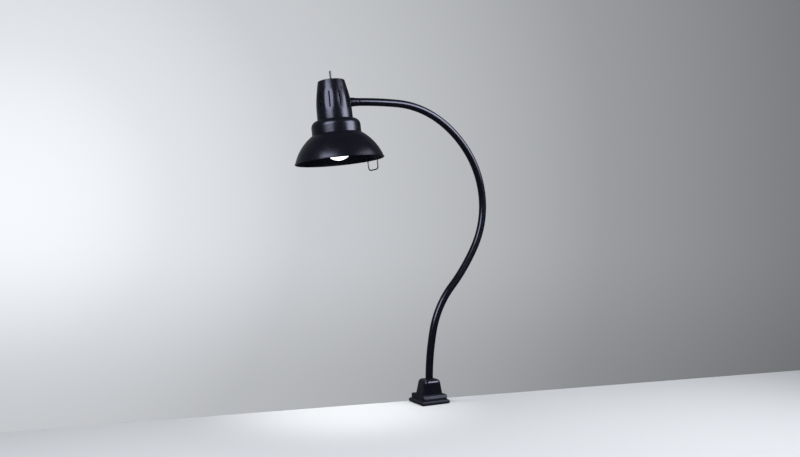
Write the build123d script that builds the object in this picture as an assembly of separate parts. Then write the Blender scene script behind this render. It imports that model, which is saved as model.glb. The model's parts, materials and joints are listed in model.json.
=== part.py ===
from build123d import *
import math
import os

# Clamp lamp with a flexible neck, in millimetres and degrees.
# Origin: centre of the clamp's seat on the table top. +Z up, the table's edge lies towards +Y,
# and the neck bends in the plane Y = 0 with the head towards -X.

# Fits
slip = 0.1
running = 0.06
hair = 0.02
end_gap = 0.3

# How far a cutting tool runs past what it cuts
past = 1.0

# Shares of a thread's pitch, for the clamp screw and the bulb's cap
flank_share = 0.35
crest_share = 0.25

# Clamp frame
jaw_length = 71.0
jaw_depth = 65.5
jaw_thickness = 7.5
jaw_bevel = 2.6
jaw_corner = 3.0
web_width = 40.0
web_thickness = 6.0
arm_width = 30.0
arm_thickness = 8.0
arm_boss_drop = 4.0
frame_round = 4.0
throat_widest = 58.0
throat_narrowest = 10.0
table_thickness = 35.0
pad_parking_gap = 0.7

# Pad of the upper jaw
jaw_pad_sheet = 1.5
jaw_pad_proud = 0.5
jaw_pad_margin = 4.0
jaw_pad_hole_room = 0.5

# Clamp screw, its swivel pad and its knob
screw_radius = 5.9
thread_pitch = 2.5
thread_depth = 0.7
screw_neck_radius = 3.2
screw_ball_radius = 4.5
screw_ball_proud = 0.2
screw_shoulder_drop = 1.2
screw_swing_room = 0.4
pad_radius = 15.0
pad_plate = 2.5
pad_face_sheet = 2.0
pad_face_margin = 0.5
pad_hub_radius = 8.0
pad_hub_height = 7.3
knob_radius = 16.0
knob_height = 20.0
knob_floor = 3.0
knob_gap = 1.5
knob_flutes = 8
knob_flute_radius = 4.0
knob_flute_bite = 2.2
knob_round = 2.0
knob_pin_radius = 1.5
knob_pin_margin = 1.0

# Base casting: a plinth with a tapered block on it
plinth_length = 59.5
plinth_depth = 60.0
plinth_height = 11.0
plinth_bevel_height = 5.5
plinth_bevel = 3.2
block_length = 49.5
block_depth = 46.0
block_height = 33.5
block_taper = 8.0
block_corner = 9.5
block_round = 9.4
block_inner_round = 5.0
casting_wall = 3.0
plinth_wall = 3.5

# Screws that hold the casting to the upper jaw
housing_screw_radius = 2.0
housing_screw_head = 4.0
housing_screw_sink = 2.4
housing_screw_length = 14.0
housing_screw_slot = 1.0
housing_screw_slot_depth = 0.9
housing_screw_slot_margin = 0.8
housing_boss_radius = 4.2
housing_boss_x = 24.0
housing_boss_y = 18.5

# Cord inlet in the block's rear face
inlet_height = 27.5
grommet_flange = 6.5
grommet_barrel = 4.5
grommet_lip = 1.5
grommet_draft = 0.6
lead_bend = 8.5

# Neck: a chain of arcs, each turned by its own angle, with lengths of their own for the first and last
first_segment_length = 106.9
segment_length = 112.8
end_segment_length = 96.7
neck_turn = 95.84
segment_turns = [-10.9, -31.1, 14.5, 31.8, 30.6, 25.8, 29.6]
sleeve_radius = 8.5
sleeve_wall = 1.2
conduit_radius = 7.2
conduit_bore = 3.4
lead_radius = 2.9
ball_radius = 8.0
ball_gap = 0.15
joint_swing = 30.0
sleeve_gap = 0.35
root_bush_radius = 9.5
root_bush_flange = 11.0
root_bush_length = 11.0
root_bush_flange_height = 2.5

# Swivel between the neck and the head, measured outwards from the head's axis. The head is turned
# on it by head_roll, which tips the shade's mouth towards -Y.
head_roll = 2.3
nipple_depth = 45.2
neck_reach = 57.3
ferrule_length = 8.1
ferrule_radius = 8.8
ferrule_bevel = 0.5
ferrule_groove = 0.5
swivel_nut_radius = 9.6
swivel_nut_bevel = 0.8
washer_sheet = 0.6
washer_margin = 0.5
seat_radius = 10.1
seat_out = 37.4
seat_in = 32.5
nipple_radius = 5.0
nipple_bore = 3.2
nipple_grip = 4.4
nipple_tail = 1.5
locknut_across = 14.0
locknut_height = 3.0

# Socket housing
housing_top_radius = 28.3
housing_mid_radius = 35.6
housing_low_radius = 37.7
housing_mid_depth = 41.5
housing_depth = 83.0
housing_wall = 1.0
housing_edge = 1.6
slot_count = 10
slot_top = 26.0
slot_bottom = 60.0
slot_width = 3.0
slot_from_axis = 20.0

# Shade
shoulder_round = 14.0
collar_radius = 52.2
collar_depth = 113.0
flare_bulge = 6.03
rim_radius = 94.4
rim_depth = 169.6
shade_wall = 1.0
rim_bead = 1.3

# Lampholder
holder_radius = 19.5
holder_top = 50.0
holder_bottom = 92.0
holder_floor = 7.5
holder_shoulder = 22.5
holder_shoulder_height = 4.0
holder_mouth = 16.0
shell_bore = 13.2
shell_wall = 0.7
shell_depth = 84.0
shell_lip = 5.0
shell_room = 0.2
contact_radius = 4.0
contact_height = 1.2
contact_stem = 1.5
contact_stem_length = 5.0
shade_ring_radius = 25.0
shade_ring_height = 6.0

# Bracket between the swivel and the lampholder
bracket_sheet = 1.5
bracket_half_width = 10.5
bracket_window = 8.5
bracket_leg_up = 6.0
bracket_leg_down = 8.0
bracket_screw_spread = 9.0
bracket_end_margin = 4.5
terminal_spread = 14.0
small_screw_radius = 1.5
small_screw_head = 3.0
small_screw_head_height = 2.0
small_screw_length = 6.0
small_screw_slot = 0.8
small_screw_slot_depth = 0.8

# Switch on the housing's top
switch_length = 13.2
switch_width = 8.0
switch_height = 10.0
switch_drop = 0.4
bushing_grip = 2.0
bushing_radius = 3.2
bushing_bore = 2.3
bushing_rise = 4.2
bushing_bevel = 0.4
switch_pole_inset = 2.6
switch_nut_across = 8.4
switch_nut_height = 1.8
lever_ball = 2.22
lever_neck_radius = 1.4
lever_neck_length = 0.8
lever_shoulder_radius = 2.05
lever_shoulder_rise = 1.6
lever_tip_radius = 2.3
lever_length = 17.8
lever_pivot_sink = 2.6
lever_lean = 12.0
throw_direction = 246.0

# Wires in the head
wire_radius = 0.9
wire_bend = 2.6
wire_offset = 1.3
wire_gap = 0.3
wire_landing = 10.0
feed_corner = -34.0
pole_corner = -27.0
return_corner = -24.0

# Wire handle under the rim
handle_azimuth = 11.5
handle_wire = 1.35
handle_spread_top = 35.6
handle_spread_rim = 34.2
handle_spread_low = 32.4
handle_drop = 22.0
handle_rise = 17.6
handle_corner = 7.0
handle_inset = 3.4
eyelet_inset = 3.0
eyelet_radius = 3.3
eyelet_half_height = 1.5
rivet_reach = 18.0
rivet_radius = 1.5
rivet_head = 2.8
rivet_head_height = 1.0

# Bulb
bulb_tip_depth = 168.8
bulb_length = 109.6
bulb_radius = 30.0
bulb_wall = 1.0
bulb_neck_radius = 15.2
bulb_neck_length = 12.0
bulb_shoulder_in = 3.4
bulb_shoulder_up = 17.0
cap_radius = 13.1
cap_length = 20.5
cap_start = 4.8
cap_groove = 0.8
cap_turns = 5
cap_skirt_rise = 3.0
cap_skirt_wall = 2.5
contact_tip = 3.0
contact_step = 0.8
contact_plug = 4.0

os.makedirs("parts", exist_ok=True)


def cylinder(radius, low, high):
    """An upright cylinder on the Z axis between two heights."""
    return Pos(0, 0, low) * extrude(Circle(radius), amount=high - low)


def tube(radius, bore, low, high):
    """An upright tube on the Z axis between two heights."""
    return cylinder(radius, low, high) - cylinder(bore, low - past, high + past)


def hexagon(across, low, high):
    """An upright hexagonal prism on the Z axis, given its width across flats."""
    sheet = RegularPolygon(across / 2, 6, major_radius=False)
    return Pos(0, 0, low) * extrude(sheet, amount=high - low)


def turned(*curves):
    """The solid that a closed outline in the XZ plane sweeps about the Z axis."""
    edges = [edge for curve in curves for edge in curve.edges()]
    return revolve(make_face(edges), Axis.Z)


def outline(points):
    """Straight edges through points (radius, height) in the XZ plane, closed."""
    corners = [(radius, 0, height) for radius, height in points]
    return Polyline(*corners, close=True)


def box(x_range, y_range, z_range):
    """A box between two limits on each axis."""
    size = [high - low for low, high in (x_range, y_range, z_range)]
    middle = [(high + low) / 2 for low, high in (x_range, y_range, z_range)]
    return Pos(*middle) * Box(*size)


def circle_through(first, second, third):
    """Centre and radius of the circle through three points in a plane."""
    (ax, ay), (bx, by), (cx, cy) = first, second, third
    a2, b2, c2 = ax * ax + ay * ay, bx * bx + by * by, cx * cx + cy * cy
    d = 2 * (ax * (by - cy) + bx * (cy - ay) + cx * (ay - by))
    x = (a2 * (by - cy) + b2 * (cy - ay) + c2 * (ay - by)) / d
    y = (a2 * (cx - bx) + b2 * (ax - cx) + c2 * (bx - ax)) / d
    return (x, y), math.hypot(ax - x, ay - y)


def save(shape, name):
    """Writes one piece, or one group of like pieces, to its own file."""
    solids = shape.solids()
    whole = solids[0] if len(solids) == 1 else Compound(children=solids)
    whole.label = name
    export_step(whole, f"parts/{name}.step")


# Levels of the clamp and the base, all measured from the seat

jaw_top = jaw_pad_proud + jaw_thickness
plinth_top = jaw_top + plinth_height
block_top = plinth_top + block_height
pad_stack = pad_face_sheet + pad_plate + pad_hub_height
arm_top = -(throat_widest + pad_stack + pad_parking_gap)
arm_bottom = arm_top - arm_thickness
boss_bottom = arm_bottom - arm_boss_drop
pad_face_top = -table_thickness
hub_bottom = pad_face_top - pad_stack
ball_centre = hub_bottom + screw_ball_radius - screw_ball_proud
pad_rise = table_thickness - throat_narrowest
knob_top = boss_bottom - pad_rise - knob_gap
knob_bottom = knob_top - knob_height
housing_posts = [(x * housing_boss_x, y * housing_boss_y) for x in (-1, 1) for y in (-1, 1)]


def clamp_frame():
    """C-shaped frame: upper jaw, web behind the table's edge, and lower arm with a threaded boss."""
    half_depth = jaw_depth / 2
    jaw = box((-jaw_length / 2, jaw_length / 2), (-half_depth, half_depth), (jaw_pad_proud, jaw_top))
    jaw = fillet(jaw.edges().filter_by(Axis.Z), jaw_corner)
    jaw = chamfer(jaw.faces().sort_by(Axis.Z)[-1].edges(), jaw_bevel)
    rear = half_depth + web_thickness
    web = box((-web_width / 2, web_width / 2), (half_depth - jaw_bevel, rear), (jaw_pad_proud, jaw_top))
    web += box((-web_width / 2, web_width / 2), (half_depth, rear), (arm_bottom, jaw_top))
    web = fillet(web.edges().filter_by(Axis.X).group_by(Axis.Y)[-1], min(frame_round, web_thickness / 2))
    arm = box((-arm_width / 2, arm_width / 2), (0, half_depth + web_thickness / 2), (arm_bottom, arm_top))
    arm += cylinder(arm_width / 2, boss_bottom, arm_top)
    frame = jaw + web + arm
    frame -= jaw_pad_blank(slip, jaw_pad_proud - past, jaw_pad_sheet)
    frame -= cylinder(screw_radius + running, boss_bottom - past, arm_top + past)
    for x, y in housing_posts:
        frame -= Pos(x, y, 0) * cylinder(housing_screw_radius + slip, 0, jaw_top + past)
        frame -= Pos(x, y, jaw_pad_sheet) * countersunk_head(slip)
    return frame


def jaw_pad_blank(extra, low, high):
    """The outline of the rubber pad under the upper jaw, grown by extra on every side."""
    length = jaw_length - 2 * jaw_pad_margin
    depth = jaw_depth - 2 * jaw_pad_margin
    sheet = RectangleRounded(length + 2 * extra, depth + 2 * extra, jaw_corner + extra)
    return Pos(0, 0, low) * extrude(sheet, amount=high - low)


def jaw_pad():
    """Rubber sheet let into the upper jaw, with a hole under each casting screw."""
    pad = jaw_pad_blank(0, 0, jaw_pad_sheet)
    for x, y in housing_posts:
        pad -= Pos(x, y, 0) * cylinder(housing_screw_head + jaw_pad_hole_room, -past, jaw_pad_sheet + past)
    return pad


def countersunk_head(extra):
    """The conical head of a casting screw, standing on its wide end and grown by extra."""
    wide = housing_screw_head + extra
    narrow = housing_screw_radius + extra
    return turned(outline([(0, 0), (wide, 0), (narrow, housing_screw_sink), (0, housing_screw_sink)]))


def housing_screws():
    """Four countersunk screws that enter from under the upper jaw."""
    screw = countersunk_head(0) + cylinder(housing_screw_radius, 0, housing_screw_length)
    half_slot = housing_screw_slot / 2
    reach = housing_screw_head - housing_screw_slot_margin
    screw -= box((-half_slot, half_slot), (-reach, reach), (-past, housing_screw_slot_depth))
    return Compound(children=[Pos(x, y, jaw_pad_sheet) * screw for x, y in housing_posts])


def tapered_block(inset, low, high):
    """The base's tapered block, drawn in by inset on all four sides, between two heights."""
    shrink = 2 * (inset + (low - plinth_top) * math.tan(math.radians(block_taper)))
    sheet = Rectangle(block_length - shrink, block_depth - shrink)
    return Pos(0, 0, low) * extrude(sheet, amount=high - low, taper=block_taper)


def rounded_block(inset, low, top_round):
    """The base's tapered block from a height up, drawn in by inset, with round corners and top."""
    block = tapered_block(inset, low, block_top - inset)
    corners = [edge for edge in block.edges() if edge.bounding_box().size.Z > block_height / 2]
    block = fillet(corners, block_corner - inset)
    return fillet(block.faces().sort_by(Axis.Z)[-1].edges(), top_round)


def plinth_body(inset, low, high):
    """The plinth, whose two long upper edges are bevelled, drawn in by inset and cut off at high."""
    half = plinth_depth / 2 - inset
    bevel_foot = plinth_top - plinth_bevel_height
    edge = [(-half, low), (-half, bevel_foot), (plinth_bevel - half, plinth_top)]
    edge += [(-y, z) for y, z in reversed(edge)]
    section = Plane.YZ * make_face(Polyline(*edge, close=True))
    length = plinth_length - 2 * inset
    body = extrude(section, amount=length / 2, both=True)
    return body & box((-length, length), (-plinth_depth, plinth_depth), (low - past, high))


def inlet_place():
    """The cord inlet on the block's rear face: local Z points out of the wall."""
    taper = math.radians(block_taper)
    face_y = block_depth / 2 - (inlet_height - plinth_top) * math.tan(taper)
    normal = (0, math.cos(taper), math.sin(taper))
    return Plane(origin=(0, face_y, inlet_height), x_dir=(1, 0, 0), z_dir=normal)


def base_housing():
    """Hollow casting that stands on the upper jaw and carries the neck."""
    block = rounded_block(0, plinth_top, block_round)
    plinth = plinth_body(0, jaw_top, plinth_top)
    upright = plinth.edges().filter_by(Axis.Z)
    plinth = fillet(upright, min(jaw_corner, plinth_bevel))
    hollow = plinth_body(plinth_wall, jaw_top - past, plinth_top - casting_wall)
    hollow += rounded_block(casting_wall, jaw_top, block_inner_round)
    for x, y in housing_posts:
        hollow -= Pos(x, y, 0) * cylinder(housing_boss_radius, jaw_top - 2 * past, plinth_top)
    casting = plinth + block - hollow
    pilot_top = jaw_pad_sheet + housing_screw_length + end_gap
    for x, y in housing_posts:
        casting -= Pos(x, y, 0) * cylinder(housing_screw_radius + hair, jaw_top - past, pilot_top)
    casting -= cylinder(conduit_radius + slip, block_top - casting_wall - past, block_top + past)
    casting -= inlet_place() * cylinder(grommet_barrel + slip, -casting_wall - past, past)
    return casting


def cord_grommet():
    """Rubber grommet in the cord inlet, with a lip on both sides of the wall."""
    inner_face = -casting_wall - hair
    profile = [
        (lead_radius + slip, inner_face - grommet_lip),
        (grommet_flange - grommet_draft, inner_face - grommet_lip),
        (grommet_flange, inner_face),
        (grommet_barrel, inner_face),
        (grommet_barrel, hair),
        (grommet_flange, hair),
        (grommet_flange - grommet_draft, grommet_lip),
        (lead_radius + slip, grommet_lip),
    ]
    return inlet_place() * turned(outline(profile))


root_end = block_top - casting_wall - root_bush_length


def neck_root_bush():
    """Flanged steel bush that grips the neck's conduit under the block's top."""
    flange_face = block_top - casting_wall
    bush = cylinder(root_bush_radius, root_end, flange_face)
    bush += cylinder(root_bush_flange, flange_face - root_bush_flange_height, flange_face)
    return bush - cylinder(conduit_radius + hair, root_end - past, flange_face + past)


def clamp_screw():
    """Clamp screw with a ball end, drawn with ring grooves at the thread's pitch."""
    foot = knob_bottom + knob_floor
    shoulder = hub_bottom - screw_shoulder_drop
    root = screw_radius - thread_depth
    flank = thread_pitch * flank_share
    crest = thread_pitch * crest_share
    profile = [(0, foot), (root, foot)]
    height = foot + thread_pitch / 2
    while height + thread_pitch < shoulder:
        profile += [(screw_radius, height), (screw_radius, height + crest)]
        profile += [(root, height + crest + flank), (root, height + thread_pitch - flank)]
        height += thread_pitch
    profile += [(screw_radius, height), (screw_radius, shoulder)]
    profile += [(screw_neck_radius, shoulder), (screw_neck_radius, ball_centre), (0, ball_centre)]
    screw = turned(outline(profile))
    screw += Pos(0, 0, ball_centre) * Sphere(screw_ball_radius)
    return screw - knob_pin_blank(hair)


def knob_pin_blank(extra):
    """The cross pin's space through the knob and the screw."""
    reach = knob_radius - knob_flute_bite - knob_pin_margin
    height = (knob_top + knob_bottom) / 2
    pin = extrude(Circle(knob_pin_radius + extra), amount=reach, both=True)
    return Pos(0, 0, height) * Rot(0, 90, 0) * pin


def swivel_pad():
    """Steel pad that turns freely on the screw's ball."""
    plate_top = pad_face_top - pad_face_sheet
    pad = cylinder(pad_radius, plate_top - pad_plate, plate_top)
    pad += cylinder(pad_hub_radius, hub_bottom, plate_top)
    pad -= Pos(0, 0, ball_centre) * Sphere(screw_ball_radius + slip)
    return pad - cylinder(screw_neck_radius + screw_swing_room, hub_bottom - past, ball_centre)


def pad_face():
    """Rubber face glued on the swivel pad."""
    face = cylinder(pad_radius - pad_face_margin, pad_face_top - pad_face_sheet, pad_face_top)
    return chamfer(face.faces().sort_by(Axis.Z)[-1].edges(), pad_face_margin)


def clamp_knob():
    """Fluted knob pinned on the screw's lower end."""
    knob = cylinder(knob_radius, knob_bottom, knob_top)
    knob = fillet(knob.edges().filter_by(GeomType.CIRCLE), knob_round)
    centre = knob_radius - knob_flute_bite + knob_flute_radius
    for turn in range(knob_flutes):
        place = Rot(0, 0, (turn + 0.5) * 360 / knob_flutes) * Pos(centre, 0, 0)
        knob -= place * cylinder(knob_flute_radius, knob_bottom - past, knob_top + past)
    knob -= cylinder(screw_radius + hair, knob_bottom + knob_floor - slip, knob_top + past)
    return knob - knob_pin_blank(hair)


# Neck geometry in the plane Y = 0. A pose is (x, z, heading), the heading counted from +X towards +Z.


def advance(pose, length, turn):
    """The pose after an arc of this length that turns by this many degrees."""
    x, z, heading = pose
    half = math.radians(turn) / 2
    chord = length * (math.sin(half) / half if half else 1.0)
    way = math.radians(heading) + half
    return x + chord * math.cos(way), z + chord * math.sin(way), heading + turn


turns = segment_turns + [neck_turn - sum(segment_turns)]
lengths = [first_segment_length] + [segment_length] * (len(segment_turns) - 1) + [end_segment_length]
straight_below = 0.01
poses = [(0.0, block_top, 90.0)]
for bend, length in zip(turns, lengths):
    poses.append(advance(poses[-1], length, bend))


def neck_pose(index, distance):
    """The pose at a distance along one segment's arc, which may run past either end."""
    return advance(poses[index], distance, turns[index] * distance / lengths[index])


def ring_section(radius, bore):
    """A round section, hollow if it has a bore."""
    return Circle(radius) - Circle(bore) if bore else Circle(radius)


def across(pose):
    """The plane square to the neck at a pose."""
    x, z, heading = pose
    way = math.radians(heading)
    return Plane(origin=(x, 0, z), x_dir=(0, 1, 0), z_dir=(math.cos(way), 0, math.sin(way)))


def rod(index, radius, start, end, bore=0):
    """A round rod or tube along one segment between two distances."""
    pose = neck_pose(index, start)
    section = across(pose) * ring_section(radius, bore)
    if abs(turns[index]) < straight_below:
        return extrude(section, amount=end - start)
    x, z, heading = pose
    bend_radius = lengths[index] / math.radians(turns[index])
    way = math.radians(heading)
    centre = (x - bend_radius * math.sin(way), 0, z + bend_radius * math.cos(way))
    turn = turns[index] * (end - start) / lengths[index]
    return revolve(section, Axis(centre, (0, -math.copysign(1, turn), 0)), abs(turn))


def stub(index, radius, length, bore=0):
    """A straight round rod or tube that runs on from the end of one segment."""
    return extrude(across(poses[index + 1]) * ring_section(radius, bore), amount=length)


def pivot_sphere(number, radius):
    """A sphere about the pivot between two segments, with its poles on the neck's line."""
    return across(poses[number]) * Sphere(radius)


last = len(turns) - 1
setback = sleeve_radius * math.tan(math.radians(joint_swing / 2)) + sleeve_gap
ferrule_bore_depth = ferrule_length - nipple_grip


def neck_sleeve(index):
    """One segment of the neck's black plastic sleeve."""
    start = setback if index > 0 else 0
    end = lengths[index] - setback if index < last else lengths[index]
    sleeve = rod(index, sleeve_radius, start, end, sleeve_radius - sleeve_wall)
    if index > 0:
        sleeve -= pivot_sphere(index, ball_radius + ball_gap)
    if index < last:
        sleeve -= pivot_sphere(index + 1, ball_radius + hair)
    return sleeve


def neck_conduit(index):
    """One segment of the flexible metal conduit. It ends in a ball that the next segment's cup turns on."""
    conduit = rod(index, conduit_radius, 0, lengths[index], conduit_bore)
    if index == 0:
        conduit += tube(conduit_radius, conduit_bore, root_end, block_top)
    if index < last:
        ball = pivot_sphere(index + 1, ball_radius) - stub(index, conduit_bore, ball_radius + past)
        conduit += ball - rod(index, conduit_bore, lengths[index] - 2 * ball_radius, lengths[index])
    else:
        conduit += stub(index, conduit_radius, ferrule_bore_depth - slip, conduit_bore)
    if index > 0:
        conduit -= pivot_sphere(index, ball_radius + ball_gap)
    return conduit


def neck_lead(index):
    """One segment of the mains lead inside the conduit."""
    lead = rod(index, lead_radius, 0, lengths[index])
    if index == 0:
        lead += base_lead()
    if index < last:
        lead += stub(index, lead_radius, math.sqrt(ball_radius**2 - lead_radius**2))
    else:
        lead += stub(index, lead_radius, neck_reach - nipple_inner)
    if index > 0:
        lead -= pivot_sphere(index, ball_radius + ball_gap)
    return lead


def base_lead():
    """The lead's run through the base, from the neck down and out to the cord inlet's outer lip."""
    inlet = inlet_place()
    out = inlet.z_dir
    foot = inlet.origin - out * (inlet.origin.Y / out.Y)
    end = inlet.origin + out * grommet_lip
    path = FilletPolyline((0, 0, block_top), tuple(foot), tuple(end), radius=lead_bend)
    start = Plane(origin=(0, 0, block_top), x_dir=(1, 0, 0), z_dir=(0, 0, -1))
    return sweep(start * Circle(lead_radius), path=path)


# Head frame: origin on the housing's top, local Z up along the head's axis, local X towards the neck.

end_x, end_z, end_heading = poses[-1]
end_way = math.radians(end_heading)
head_x = Vector(-math.cos(end_way), 0, -math.sin(end_way))
neck_up = Vector(math.sin(end_way), 0, -math.cos(end_way))
head_z = neck_up.rotate(Axis((0, 0, 0), tuple(head_x)), -head_roll)
head_top = Vector(end_x, 0, end_z) - head_x * neck_reach + head_z * nipple_depth
head_plane = Plane(origin=head_top, x_dir=head_x, z_dir=head_z)
swivel_plane = Plane(origin=(0, 0, -nipple_depth), x_dir=(0, 1, 0), z_dir=(1, 0, 0))
ferrule_start = neck_reach - ferrule_length
nut_end = ferrule_start - ferrule_groove
washer_start = seat_out
nut_start = washer_start + washer_sheet
locknut_end = seat_in - bracket_sheet
locknut_start = locknut_end - locknut_height
nipple_inner = locknut_start - nipple_tail


def on_head(shape):
    """Places a shape that is drawn in the head's frame."""
    return head_plane * shape


def on_swivel(shape):
    """Places a shape drawn about the swivel's axis, whose Z runs out from the head's axis to the neck."""
    return head_plane * (swivel_plane * shape)


def neck_ferrule():
    """Ferrule that joins the conduit's end to the nipple."""
    middle = ferrule_start + nipple_grip
    ferrule = cylinder(ferrule_radius, ferrule_start, neck_reach)
    ferrule = chamfer(ferrule.edges().filter_by(GeomType.CIRCLE), ferrule_bevel)
    ferrule -= cylinder(nipple_radius + hair, ferrule_start - past, middle)
    return on_swivel(ferrule - cylinder(conduit_radius + hair, middle, neck_reach + past))


def swivel_nut():
    """Round nut outside the housing that bears on the friction washer."""
    nut = cylinder(swivel_nut_radius, nut_start, nut_end)
    nut = chamfer(nut.edges().filter_by(GeomType.CIRCLE), swivel_nut_bevel)
    return on_swivel(nut - cylinder(nipple_radius + hair, nut_start - past, nut_end + past))


def friction_washer():
    """Fibre washer between the swivel nut and the housing's seat."""
    return on_swivel(tube(swivel_nut_radius - washer_margin, nipple_radius + hair, washer_start, nut_start))


def swivel_nipple():
    """Hollow threaded nipple on which the head turns. The lead passes through it."""
    return on_swivel(tube(nipple_radius, nipple_bore, nipple_inner, ferrule_start + nipple_grip))


def swivel_locknut():
    """Locknut inside the housing that closes the swivel."""
    nut = hexagon(locknut_across, locknut_start, locknut_end)
    return on_swivel(nut - cylinder(nipple_radius + hair, locknut_start - past, locknut_end + past))


def housing_blank(inset, top, bottom):
    """The housing's turned body, drawn in by inset."""
    side = ThreePointArc(
        (housing_top_radius - inset, 0, top),
        (housing_mid_radius - inset, 0, -housing_mid_depth),
        (housing_low_radius - inset, 0, bottom),
    )
    rest = Polyline(side @ 1, (0, 0, bottom), (0, 0, top), side @ 0)
    return turned(side, rest)


def socket_housing():
    """Upper casing of the head: top plate for the switch, slots all round, seat for the swivel."""
    outer = housing_blank(0, 0, -housing_depth)
    outer = fillet(outer.faces().sort_by(Axis.Z)[-1].edges(), housing_edge)
    inner = housing_blank(housing_wall, -housing_wall, -housing_depth - past)
    housing = outer - inner
    half_width = slot_width / 2
    slot = box((slot_from_axis, housing_low_radius + past), (-half_width, half_width), (-slot_bottom, -slot_top))
    slot = fillet(slot.edges().filter_by(Axis.X), half_width - hair)
    for step in range(slot_count):
        housing -= Rot(0, 0, (step + 0.5) * 360 / slot_count) * slot
    housing += swivel_plane * cylinder(seat_radius, seat_in, seat_out)
    housing -= swivel_plane * cylinder(nipple_radius + running, seat_in - past, seat_out + past)
    housing -= cylinder(bushing_radius + slip, -housing_wall - past, past)
    return on_head(housing)


# The flare is an arc from the collar to the rim that bulges outwards from its chord.
chord_out = rim_radius - collar_radius
chord_down = rim_depth - collar_depth
chord = math.hypot(chord_out, chord_down)
flare_middle = (
    (collar_radius + rim_radius) / 2 + flare_bulge * chord_down / chord,
    (collar_depth + rim_depth) / 2 - flare_bulge * chord_out / chord,
)
flare_centre, flare_radius = circle_through(
    (collar_radius, collar_depth), flare_middle, (rim_radius, rim_depth)
)


def flare_point(inset, depth):
    """The radius of the flare's surface, drawn in by inset, at a depth below the housing's top."""
    return flare_centre[0] + math.sqrt((flare_radius - inset) ** 2 - (depth - flare_centre[1]) ** 2)


def shade_blank(inset, bottom):
    """The shade's turned body, drawn in by inset: shoulder, collar and flare."""
    top = housing_depth + inset
    shoulder_depth = housing_depth + shoulder_round
    shoulder_x = collar_radius - shoulder_round
    small = shoulder_round - inset
    slant = small * math.sqrt(0.5)
    wall = collar_radius - inset
    reach = (flare_radius - inset) ** 2 - (wall - flare_centre[0]) ** 2
    junction = flare_centre[1] - math.sqrt(reach)
    low = flare_point(inset, bottom)
    mid_depth = (junction + bottom) / 2
    halfway = (shoulder_x + slant, 0, slant - shoulder_depth)
    shoulder = ThreePointArc((shoulder_x, 0, -top), halfway, (wall, 0, -shoulder_depth))
    collar = Line(shoulder @ 1, (wall, 0, -junction))
    flare = ThreePointArc(collar @ 1, (flare_point(inset, mid_depth), 0, -mid_depth), (low, 0, -bottom))
    rest = Polyline(flare @ 1, (0, 0, -bottom), (0, 0, -top), shoulder @ 0)
    return turned(shoulder, collar, flare, rest)


def shade():
    """Spun metal shade: a flange clamped on the lampholder, a collar, a flare and a rolled rim."""
    body = shade_blank(0, rim_depth)
    body -= shade_blank(shade_wall, rim_depth + past)
    rim = flare_point(shade_wall / 2, rim_depth)
    body += Pos(0, 0, -rim_depth) * Torus(rim, rim_bead)
    body -= cylinder(holder_radius + slip, -rim_depth, -housing_depth + past)
    for place in rivet_places():
        body -= place * cylinder(rivet_radius + slip, -rivet_reach, 0)
    return on_head(body)


def lampholder_body():
    """Moulded lampholder with a shoulder above the shade's flange."""
    floor = -holder_top - holder_floor
    body = cylinder(holder_radius, -holder_bottom, -holder_top)
    body += cylinder(holder_shoulder, -housing_depth, -housing_depth + holder_shoulder_height)
    body -= cylinder(shell_bore + shell_wall + shell_room, -holder_bottom - past, floor)
    body -= cylinder(holder_mouth, -holder_bottom - past, -shell_depth - shell_room)
    body -= cylinder(contact_stem + hair, floor - past, floor + contact_stem_length + end_gap)
    for place in small_screw_places():
        body -= place * cylinder(small_screw_radius + hair, -small_screw_length - end_gap, past)
    return on_head(body)


def screw_shell():
    """Brass screw shell with a lip against the lampholder's floor."""
    floor = -holder_top - holder_floor
    shell = tube(shell_bore + shell_wall, shell_bore, -shell_depth, floor)
    return on_head(shell + tube(shell_bore + shell_wall, shell_bore - shell_lip, floor - shell_wall, floor))


def centre_contact():
    """Brass centre contact riveted through the lampholder's floor."""
    floor = -holder_top - holder_floor
    contact = cylinder(contact_radius, floor - contact_height, floor)
    return on_head(contact + cylinder(contact_stem, floor, floor + contact_stem_length))


def shade_ring():
    """Threaded ring that clamps the shade's flange up against the lampholder's shoulder."""
    top = -housing_depth - shade_wall
    ring = tube(shade_ring_radius, holder_radius + hair, top - shade_ring_height, top)
    return on_head(ring)


def bracket_level():
    """The height of the bracket's upper face, one sheet above the lampholder's top."""
    return -holder_top + bracket_sheet


def socket_bracket():
    """Bent steel bracket from the swivel's seat to the lampholder's top, open round the nipple's end."""
    half = bracket_half_width
    leg = (locknut_end, seat_in)
    top = bracket_level()
    end = -bracket_screw_spread - bracket_end_margin
    plate = box((end, seat_in), (-half, half), (-holder_top, top))
    window = (-bracket_window, bracket_window)
    plate -= box((holder_radius + past, locknut_end), window, (-holder_top - past, top + past))
    upright = box(leg, (-half, half), (-nipple_depth - bracket_leg_down, -nipple_depth + bracket_leg_up))
    bracket = plate + upright
    bracket -= swivel_plane * cylinder(nipple_radius + slip, locknut_end - past, seat_in + past)
    for x in (-bracket_screw_spread, bracket_screw_spread):
        bracket -= Pos(x, 0, -holder_top) * cylinder(small_screw_radius + slip, -past, bracket_sheet + past)
    return on_head(bracket)


def small_screw_places():
    """The two bracket screws and the two terminal screws in the lampholder's top."""
    spots = [(side * bracket_screw_spread, 0) for side in (-1, 1)]
    spots += [(0, side * terminal_spread) for side in (-1, 1)]
    return [Pos(x, y, -holder_top) for x, y in spots]


def small_screw(head_base):
    """A pan-head screw whose head sits at this height above the lampholder's top."""
    crown = head_base + small_screw_head_height
    half_slot = small_screw_slot / 2
    head = cylinder(small_screw_head, head_base, crown)
    slot_levels = (crown - small_screw_slot_depth, crown + past)
    head -= box((-small_screw_head, small_screw_head), (-half_slot, half_slot), slot_levels)
    return head + cylinder(small_screw_radius, -small_screw_length, crown - small_screw_slot_depth)


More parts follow.
